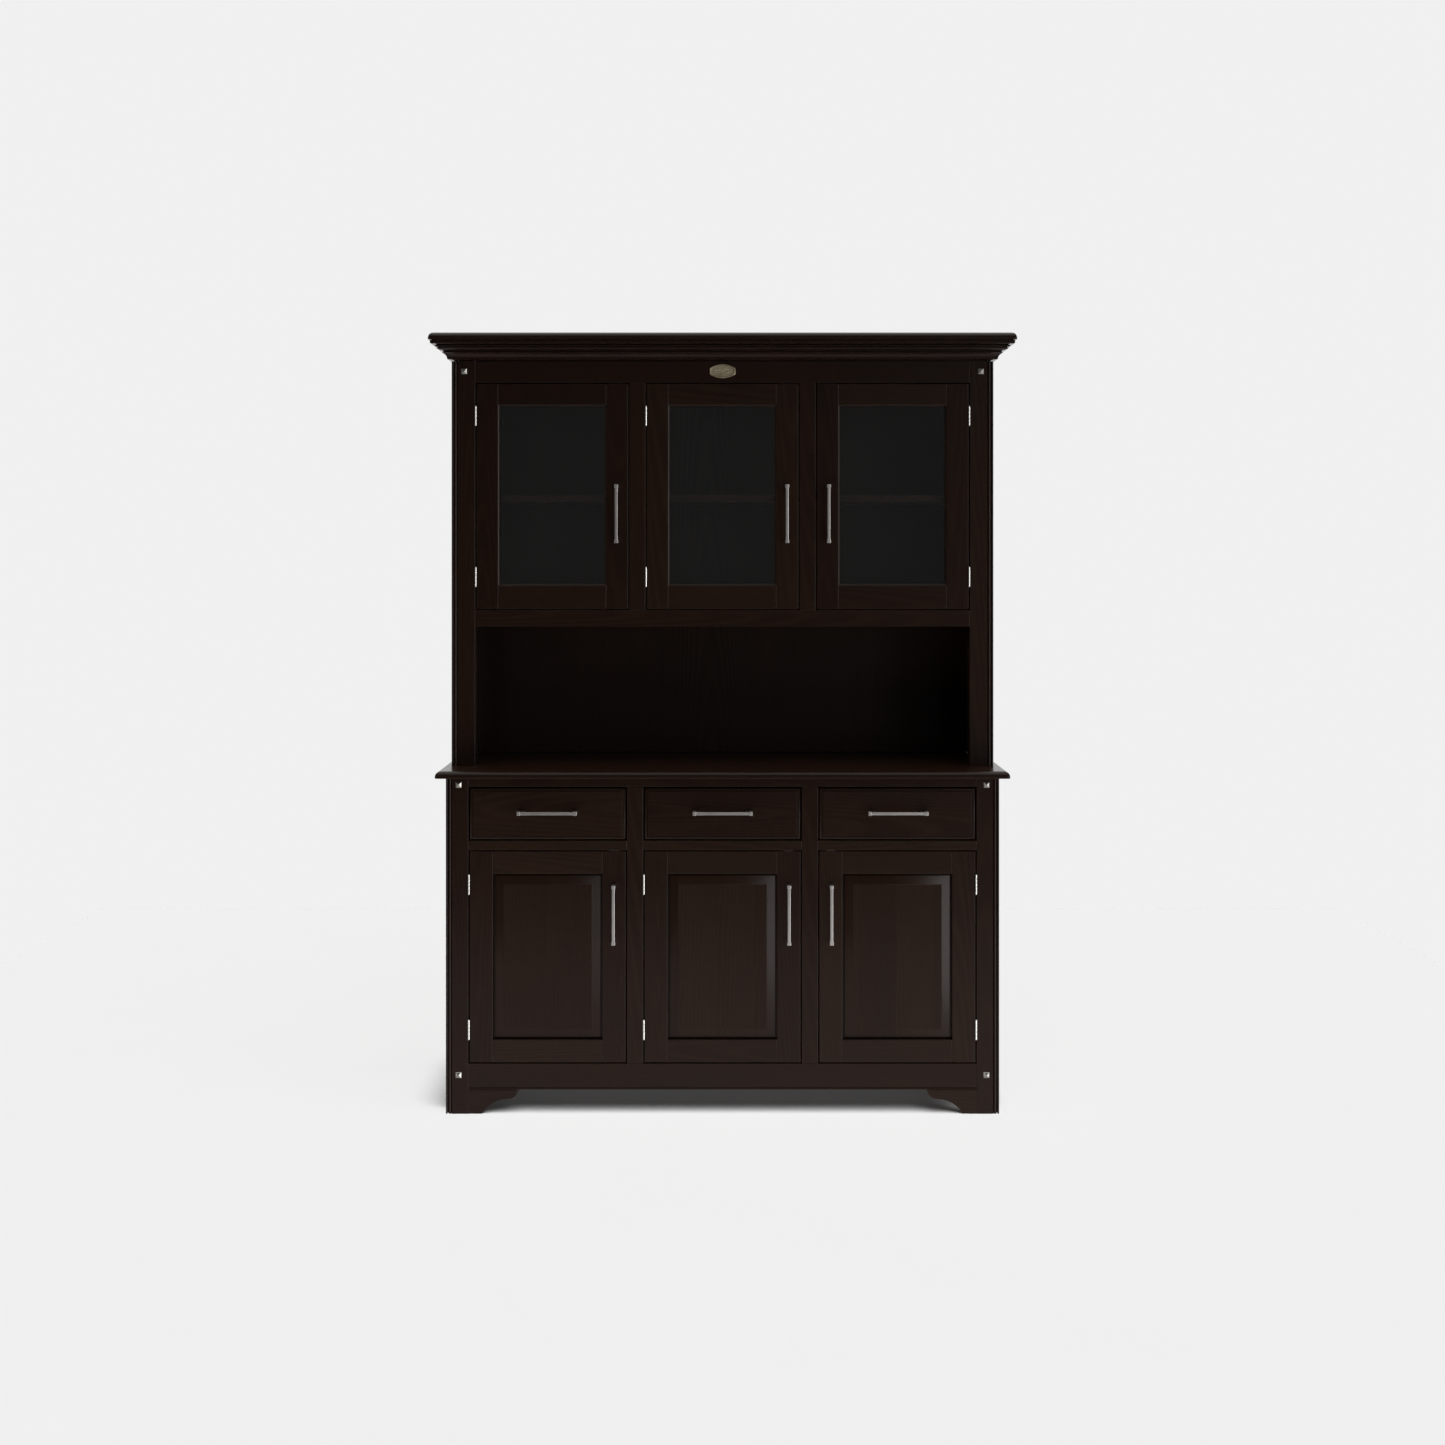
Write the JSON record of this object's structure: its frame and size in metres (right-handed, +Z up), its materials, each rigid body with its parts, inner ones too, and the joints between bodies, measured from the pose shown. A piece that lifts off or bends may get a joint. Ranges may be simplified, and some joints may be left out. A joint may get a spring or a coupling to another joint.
{
  "type": "china cabinet with glass doors",
  "caption": "Dark-stained pine buffet with drawers and raised-panel doors, carrying a glazed hutch over an open serving niche under a crown moulding.",
  "frame": {"origin": "on the floor, under the middle of the overall box", "axes": "+X to the right seen from the front, +Y to the back, +Z up; the doors face -Y"},
  "size_m": [1.52, 0.48, 2],
  "materials": {
    "stained_pine": "espresso-stained pine under satin lacquer",
    "drawer_wood": "clear-lacquered pine",
    "brushed_nickel": "satin brushed nickel plate",
    "plaque_brass": "aged antique brass",
    "door_glass": "clear flat pane with a faint grey haze"
  },
  "bodies": {
    "root": {"buffet_top": "stained_pine", "buffet_post_left": "stained_pine", "buffet_post_right": "stained_pine", "buffet_end_left": "stained_pine", "buffet_end_right": "stained_pine", "bracket_foot_left": "stained_pine", "bracket_foot_right": "stained_pine", "buffet_face_frame": "stained_pine", "buffet_floor": "stained_pine", "drawer_deck": "stained_pine", "buffet_shelf": "stained_pine", "buffet_back": "stained_pine", "hutch_face_frame": "stained_pine", "hutch_end_left": "stained_pine", "hutch_end_right": "stained_pine", "hutch_floor": "stained_pine", "hutch_shelf": "stained_pine", "hutch_back": "stained_pine", "crown_moulding": "stained_pine", "cornice_cap": "stained_pine", "frieze_plaque": "plaque_brass", "hutch_hinge_left_lower": "brushed_nickel", "hutch_hinge_left_upper": "brushed_nickel", "hutch_hinge_centre_lower": "brushed_nickel", "hutch_hinge_centre_upper": "brushed_nickel", "hutch_hinge_right_lower": "brushed_nickel", "hutch_hinge_right_upper": "brushed_nickel", "buffet_hinge_left_lower": "brushed_nickel", "buffet_hinge_left_upper": "brushed_nickel", "buffet_hinge_centre_lower": "brushed_nickel", "buffet_hinge_centre_upper": "brushed_nickel", "buffet_hinge_right_lower": "brushed_nickel", "buffet_hinge_right_upper": "brushed_nickel"},
    "hutch_door_left": {"hutch_door_left_frame": "stained_pine", "hutch_door_left_glass": "door_glass", "hutch_door_left_handle": "brushed_nickel"},
    "hutch_door_centre": {"hutch_door_centre_frame": "stained_pine", "hutch_door_centre_glass": "door_glass", "hutch_door_centre_handle": "brushed_nickel"},
    "hutch_door_right": {"hutch_door_right_frame": "stained_pine", "hutch_door_right_glass": "door_glass", "hutch_door_right_handle": "brushed_nickel"},
    "buffet_door_left": {"buffet_door_left_frame": "stained_pine", "buffet_door_left_panel": "stained_pine", "buffet_door_left_handle": "brushed_nickel"},
    "buffet_door_centre": {"buffet_door_centre_frame": "stained_pine", "buffet_door_centre_panel": "stained_pine", "buffet_door_centre_handle": "brushed_nickel"},
    "buffet_door_right": {"buffet_door_right_frame": "stained_pine", "buffet_door_right_panel": "stained_pine", "buffet_door_right_handle": "brushed_nickel"},
    "drawer_left": {"drawer_left_front": "stained_pine", "drawer_left_box": "drawer_wood", "drawer_left_handle": "brushed_nickel"},
    "drawer_centre": {"drawer_centre_front": "stained_pine", "drawer_centre_box": "drawer_wood", "drawer_centre_handle": "brushed_nickel"},
    "drawer_right": {"drawer_right_front": "stained_pine", "drawer_right_box": "drawer_wood", "drawer_right_handle": "brushed_nickel"}
  },
  "joints": [
    {"name": "hutch_door_left_hinge", "type": "hinge", "parent": "root", "child": "hutch_door_left", "pos_m": [-0.6425, -0.1128, 1.5775], "axis": [0, 0, -1], "range_deg": [0, 170]},
    {"name": "hutch_door_centre_hinge", "type": "hinge", "parent": "root", "child": "hutch_door_centre", "pos_m": [-0.19917, -0.1128, 1.5775], "axis": [0, 0, -1], "range_deg": [0, 150]},
    {"name": "hutch_door_right_hinge", "type": "hinge", "parent": "root", "child": "hutch_door_right", "pos_m": [0.6425, -0.1128, 1.5775], "axis": [0, 0, 1], "range_deg": [0, 170]},
    {"name": "buffet_door_left_hinge", "type": "hinge", "parent": "root", "child": "buffet_door_left", "pos_m": [-0.6465, -0.2128, 0.4], "axis": [0, 0, -1], "range_deg": [0, 170]},
    {"name": "buffet_door_centre_hinge", "type": "hinge", "parent": "root", "child": "buffet_door_centre", "pos_m": [-0.2005, -0.2128, 0.4], "axis": [0, 0, -1], "range_deg": [0, 150]},
    {"name": "buffet_door_right_hinge", "type": "hinge", "parent": "root", "child": "buffet_door_right", "pos_m": [0.6465, -0.2128, 0.4], "axis": [0, 0, 1], "range_deg": [0, 170]},
    {"name": "drawer_left_slide", "type": "slide", "parent": "root", "child": "drawer_left", "axis": [0, -1, 0], "range_m": [0, 0.3]},
    {"name": "drawer_centre_slide", "type": "slide", "parent": "root", "child": "drawer_centre", "axis": [0, -1, 0], "range_m": [0, 0.3]},
    {"name": "drawer_right_slide", "type": "slide", "parent": "root", "child": "drawer_right", "axis": [0, -1, 0], "range_m": [0, 0.3]}
  ]
}
